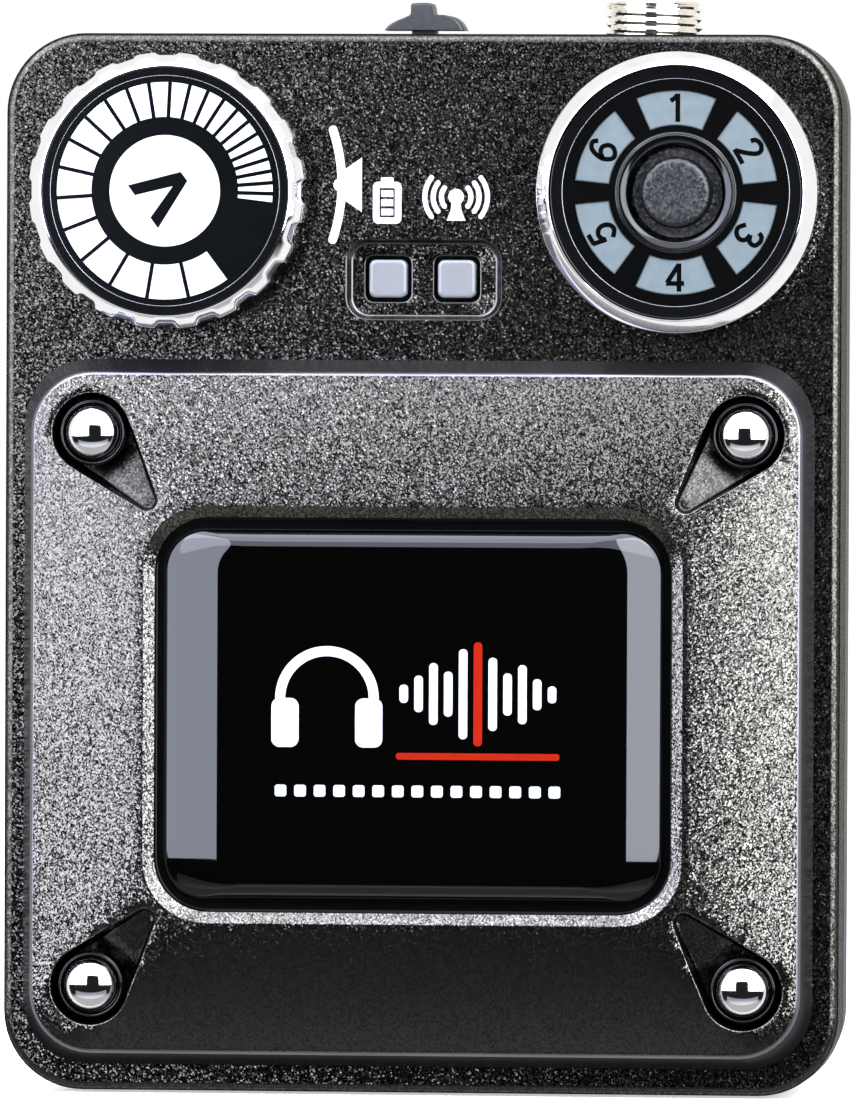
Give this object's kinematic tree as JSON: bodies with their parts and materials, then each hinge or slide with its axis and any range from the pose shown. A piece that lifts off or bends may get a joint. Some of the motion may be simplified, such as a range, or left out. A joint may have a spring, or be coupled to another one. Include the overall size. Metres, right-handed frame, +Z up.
{
  "type": "wireless in-ear monitor receiver",
  "caption": "Belt-pack audio receiver with a scalloped volume knob, ring of channel windows round a push button, slide switch, threaded headphone socket and sprung belt clip.",
  "frame": {"origin": "centre of the case's flat bottom face, on the floor, midway between the case's front and back faces", "axes": "+X to the right seen from the front, the front face looks along -Y, +Y to the back and the belt clip, +Z up towards the headphone socket"},
  "size_m": [0.06, 0.0296, 0.0782],
  "materials": {
    "case_paint": "dark textured coating with fine metallic flakes",
    "plate_paint": "grey textured coating with coarse metallic flakes",
    "badge_gloss": "high gloss black",
    "chrome_trim": "bright polished",
    "nickel": "plated, slightly warm",
    "steel": "satin",
    "clip_black": "black satin coating",
    "black_plastic": "fine moulded texture",
    "washer_rubber": "satin",
    "white_print": "printed label",
    "pale_lens": "milky translucent",
    "board_green": "solder mask",
    "foil": "thin foil",
    "foam": "closed-cell foam",
    "chip_black": "moulded package",
    "ceramic": "off-white",
    "wire_red": "insulation",
    "wire_black": "insulation"
  },
  "bodies": {
    "case": {"antenna": "ceramic", "audio_chip": "chip_black", "badge": "badge_gloss", "battery_cell": "foil", "battery_lead_black": "wire_black", "battery_lead_red": "wire_red", "battery_pad": "foam", "battery_plug": "ceramic", "board_screw_1": "steel", "board_screw_2": "steel", "case_screw_1": "steel", "case_screw_2": "steel", "case_screw_3": "steel", "case_screw_4": "steel", "channel_bezel": "chrome_trim", "channel_dial": "badge_gloss", "channel_led_1": "ceramic", "channel_led_2": "ceramic", "channel_led_3": "ceramic", "channel_led_4": "ceramic", "channel_led_5": "ceramic", "channel_led_6": "ceramic", "channel_light_guide": "pale_lens", "clip_bracket": "clip_black", "clip_pin": "steel", "clip_screw_1": "steel", "clip_screw_2": "steel", "clip_spring": "steel", "front_plate": "plate_paint", "front_shell": "case_paint", "headphone_jack": "black_plastic", "jack_barrel": "nickel", "main_board": "board_green", "plate_screw_1": "chrome_trim", "plate_screw_2": "chrome_trim", "plate_screw_3": "chrome_trim", "plate_screw_4": "chrome_trim", "plate_washer_1": "washer_rubber", "plate_washer_2": "washer_rubber", "plate_washer_3": "washer_rubber", "plate_washer_4": "washer_rubber", "potentiometer": "steel", "potentiometer_nut": "nickel", "power_switch": "black_plastic", "radio_chip": "chip_black", "radio_shield": "foil", "rear_shell": "case_paint", "status_led_1": "ceramic", "status_led_2": "ceramic", "status_lens_1": "pale_lens", "status_lens_2": "pale_lens", "tact_switch": "steel", "usb_port": "steel", "usb_tongue": "black_plastic"},
    "volume_knob": {"volume_knob": "chrome_trim", "volume_label": "white_print", "volume_shaft": "steel"},
    "channel_button": {"channel_button": "black_plastic"},
    "power_slider": {"power_slider": "black_plastic"},
    "clip_lever": {"clip_lever": "clip_black"}
  },
  "joints": [
    {"name": "volume_turn", "type": "hinge", "parent": "case", "child": "volume_knob", "pos_m": [-0.0181, -0.0126, 0.0644], "axis": [0, 1, 0], "range_deg": [0, 295]},
    {"name": "channel_press", "type": "slide", "parent": "case", "child": "channel_button", "axis": [0, 1, 0], "range_m": [0, 0.0004], "stiffness_N_per_m": 400, "springref_m": -0.004},
    {"name": "power_slide", "type": "slide", "parent": "case", "child": "power_slider", "axis": [1, 0, 0], "range_m": [0, 0.002]},
    {"name": "clip_open", "type": "hinge", "parent": "case", "child": "clip_lever", "pos_m": [0, 0.0124, 0.05], "axis": [1, 0, 0], "range_deg": [0, 22], "stiffness_Nm_per_rad": 0.15, "springref_deg": -22.92, "deforming": ["clip_spring"]}
  ]
}
